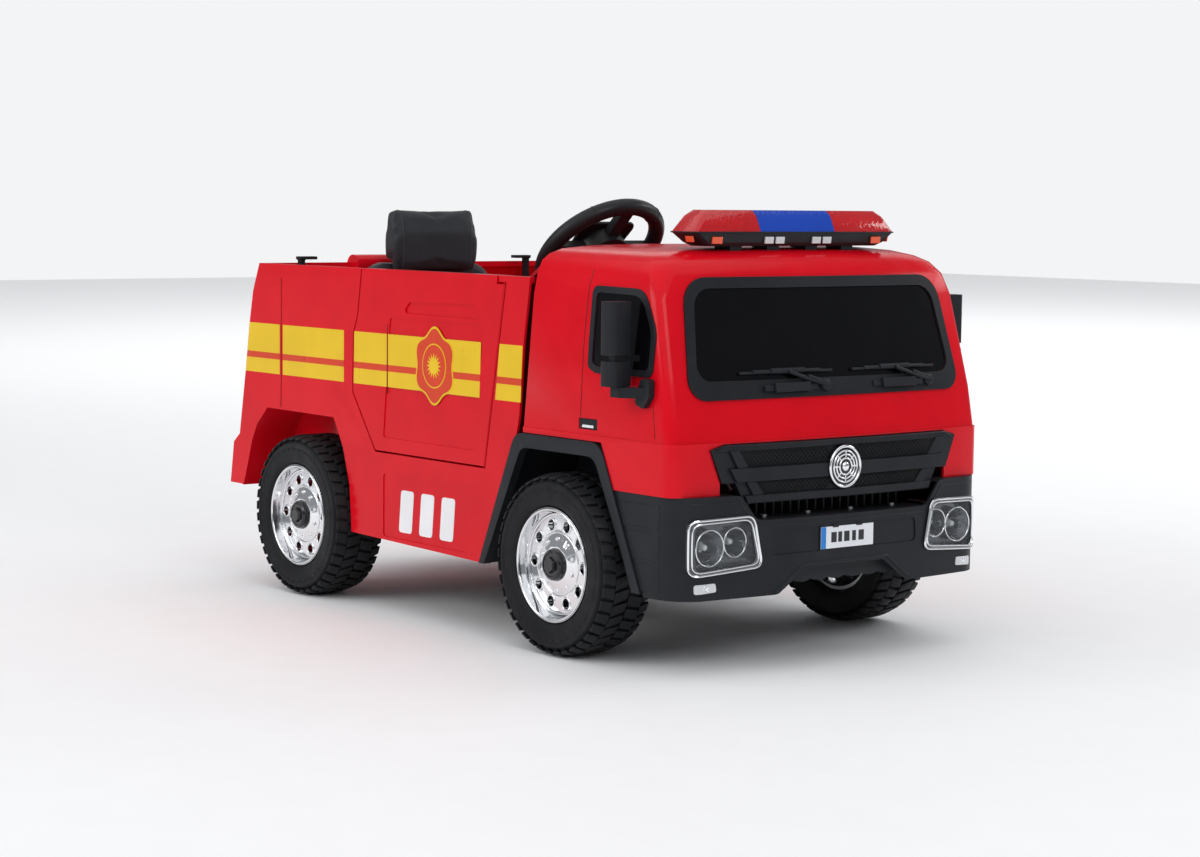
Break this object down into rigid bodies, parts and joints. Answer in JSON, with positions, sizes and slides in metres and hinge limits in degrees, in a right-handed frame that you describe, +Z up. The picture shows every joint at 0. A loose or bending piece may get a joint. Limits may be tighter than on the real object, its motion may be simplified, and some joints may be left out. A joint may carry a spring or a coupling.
{
  "type": "ride-on toy fire truck",
  "caption": "Battery-powered child's ride-on fire truck: open bed with a seat, steering wheel, opening doors, cab front, roof light bar and steered wheels.",
  "frame": {"origin": "on the ground under the middle of the vehicle, halfway from tail to bumper on the centre plane", "axes": "+X forward, +Y to the rider's left, +Z up"},
  "size_m": [1.178, 0.66, 0.6323],
  "materials": {
    "red_shell": "glossy red moulded plastic with a clear coat",
    "dash": "glossy red moulded plastic",
    "under_plastic": "matt black moulded plastic",
    "black_trim": "satin black moulded plastic, fine grained",
    "chrome_trim": "bright vacuum-plated chrome",
    "rim": "bright plated plastic",
    "tyre": "black hollow moulded tyre, matt tread",
    "black_gloss": "gloss black plastic",
    "dark_screen": "deep gloss black panel",
    "clear_lens": "clear polished plastic lens",
    "plate": "printed plastic plate",
    "red_lens": "transparent red lens",
    "blue_lens": "transparent blue lens",
    "amber_lens": "small moulded marker lamps",
    "tail_lens": "red lamp lens",
    "seat_leather": "black leather-look cover, soft sheen",
    "steel": "bright zinc-plated steel",
    "battery_case": "dark grey battery and control boxes",
    "wheel_grip": "satin black grained plastic",
    "button_red": "red push button"
  },
  "bodies": {
    "root": {"floor_pan": "under_plastic", "rear_body": "red_shell", "cab_body": "red_shell", "dash_panel": "dash", "front_bumper": "black_trim", "grille": "black_trim", "front_badge": "chrome_trim", "windscreen_frame": "black_trim", "windscreen": "dark_screen", "window_frames": "black_trim", "window_panes": "dark_screen", "wipers": "black_trim", "right_headlamp": "chrome_trim", "left_headlamp": "chrome_trim", "headlamp_lenses": "clear_lens", "fog_lamps": "clear_lens", "number_plate": "plate", "skid_plate": "black_trim", "right_arch_trim": "black_trim", "left_arch_trim": "black_trim", "lightbar_base": "black_trim", "lightbar_red_lenses": "red_lens", "lightbar_blue_lens": "blue_lens", "lightbar_lamps": "amber_lens", "seat_cushion": "seat_leather", "seat_backrest": "seat_leather", "headrest": "seat_leather", "tail_lamps": "tail_lens", "front_axle_beam": "steel", "rear_axle": "steel", "gearboxes": "under_plastic", "battery": "battery_case", "controller": "battery_case", "body_screws": "steel", "bed_clips": "black_trim", "mirror_arms": "black_trim"},
    "steering": {"steering_wheel": "wheel_grip", "steering_shaft": "steel"},
    "horn": {"horn_button": "wheel_grip"},
    "right_knuckle": {"right_knuckle": "steel"},
    "left_knuckle": {"left_knuckle": "steel"},
    "tie_rod": {"tie_rod": "steel"},
    "pedal": {"accelerator_pedal": "black_trim"},
    "power_button": {"power_button": "button_red"},
    "right_door": {"right_door": "red_shell"},
    "left_door": {"left_door": "red_shell"},
    "right_mirror": {"right_mirror": "black_trim"},
    "left_mirror": {"left_mirror": "black_trim"},
    "front_right_wheel": {"front_right_tyre": "tyre", "front_right_rim": "rim", "front_right_hub_cap": "black_gloss"},
    "front_left_wheel": {"front_left_tyre": "tyre", "front_left_rim": "rim", "front_left_hub_cap": "black_gloss"},
    "rear_right_wheel": {"rear_right_tyre": "tyre", "rear_right_rim": "rim", "rear_right_hub_cap": "black_gloss"},
    "rear_left_wheel": {"rear_left_tyre": "tyre", "rear_left_rim": "rim", "rear_left_hub_cap": "black_gloss"}
  },
  "joints": [
    {"name": "steering_turn", "type": "hinge", "parent": "root", "child": "steering", "pos_m": [0.033, 0, 0.555], "axis": [-0.682, 0, 0.7314], "range_deg": [-40.5, 40.5]},
    {"name": "horn_press", "type": "slide", "parent": "steering", "child": "horn", "axis": [0.682, 0, -0.7314], "range_m": [0, 0.002], "stiffness_N_per_m": 400, "springref_m": -0.002},
    {"name": "right_kingpin", "type": "hinge", "parent": "root", "child": "right_knuckle", "pos_m": [0.319, -0.2, 0.1275], "axis": [0, 0, 1], "range_deg": [-18.1, 18.1]},
    {"name": "left_kingpin", "type": "hinge", "parent": "root", "child": "left_knuckle", "pos_m": [0.319, 0.2, 0.1275], "axis": [0, 0, 1], "range_deg": [-18.1, 18.1]},
    {"name": "tie_rod_slide", "type": "slide", "parent": "root", "child": "tie_rod", "axis": [0, 1, 0], "range_m": [-0.01551, 0.01551]},
    {"name": "pedal_press", "type": "hinge", "parent": "root", "child": "pedal", "pos_m": [0.044, -0.062, 0.127], "axis": [0, 1, 0], "range_deg": [0, 15], "stiffness_Nm_per_rad": 1, "springref_deg": -8.59},
    {"name": "power_press", "type": "slide", "parent": "root", "child": "power_button", "axis": [0.5584, 0, -0.8296], "range_m": [0, 0.003], "stiffness_N_per_m": 300, "springref_m": -0.002},
    {"name": "right_door_swing", "type": "hinge", "parent": "root", "child": "right_door", "pos_m": [0.128, -0.28, 0.244], "axis": [0.1736, 0, 0.9848], "range_deg": [0, 60]},
    {"name": "left_door_swing", "type": "hinge", "parent": "root", "child": "left_door", "pos_m": [0.128, 0.28, 0.244], "axis": [0.1736, 0, 0.9848], "range_deg": [-60, 0]},
    {"name": "right_mirror_fold", "type": "hinge", "parent": "root", "child": "right_mirror", "pos_m": [0.471, -0.308, 0.396], "axis": [0, 0, 1], "range_deg": [-12, 25]},
    {"name": "left_mirror_fold", "type": "hinge", "parent": "root", "child": "left_mirror", "pos_m": [0.471, 0.308, 0.396], "axis": [0, 0, 1], "range_deg": [-25, 12]},
    {"name": "front_right_roll", "type": "hinge", "parent": "right_knuckle", "child": "front_right_wheel", "pos_m": [0.319, -0.264, 0.1275], "axis": [0, 1, 0], "continuous": true},
    {"name": "front_left_roll", "type": "hinge", "parent": "left_knuckle", "child": "front_left_wheel", "pos_m": [0.319, 0.264, 0.1275], "axis": [0, 1, 0], "continuous": true},
    {"name": "rear_right_roll", "type": "hinge", "parent": "root", "child": "rear_right_wheel", "pos_m": [-0.35, -0.264, 0.1275], "axis": [0, 1, 0], "continuous": true},
    {"name": "rear_left_roll", "type": "hinge", "parent": "root", "child": "rear_left_wheel", "pos_m": [-0.35, 0.264, 0.1275], "axis": [0, 1, 0], "continuous": true}
  ],
  "couplings": [
    {"joint": "right_kingpin", "follows": "steering_turn", "ratio": 0.44444},
    {"joint": "left_kingpin", "follows": "steering_turn", "ratio": 0.44444},
    {"joint": "tie_rod_slide", "follows": "steering_turn", "m_per_rad": -0.021858}
  ]
}
